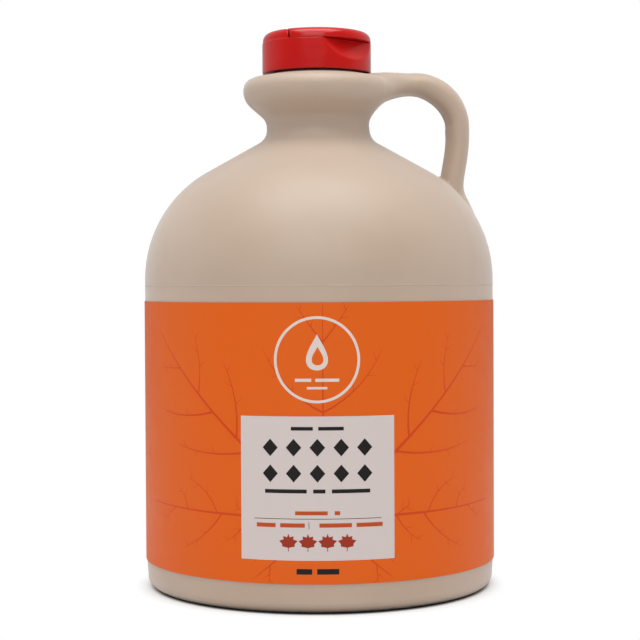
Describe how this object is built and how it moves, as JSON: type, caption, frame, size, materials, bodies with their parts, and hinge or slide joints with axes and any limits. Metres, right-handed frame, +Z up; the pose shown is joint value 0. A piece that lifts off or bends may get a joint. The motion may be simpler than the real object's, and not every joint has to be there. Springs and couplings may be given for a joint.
{
  "type": "syrup jug",
  "caption": "Round plastic syrup jug with a domed shoulder, a loop handle at the neck, a wrap-round label and a flip-top screw cap.",
  "frame": {"origin": "on the jug's axis, in the plane that it stands on", "axes": "+Z up along the jug's axis; -Y is the label's front; the handle is on the +X side, turned 10 degrees towards +Y"},
  "size_m": [0.1322, 0.1322, 0.2086],
  "materials": {
    "jug": "satin beige blow-moulded polyethylene",
    "label": "printed film label, semi-gloss",
    "cap": "glossy red polypropylene"
  },
  "bodies": {
    "root": {"jug": "jug", "label": "label", "cap_base": "cap", "flip_lid": "cap"}
  },
  "joints": []
}
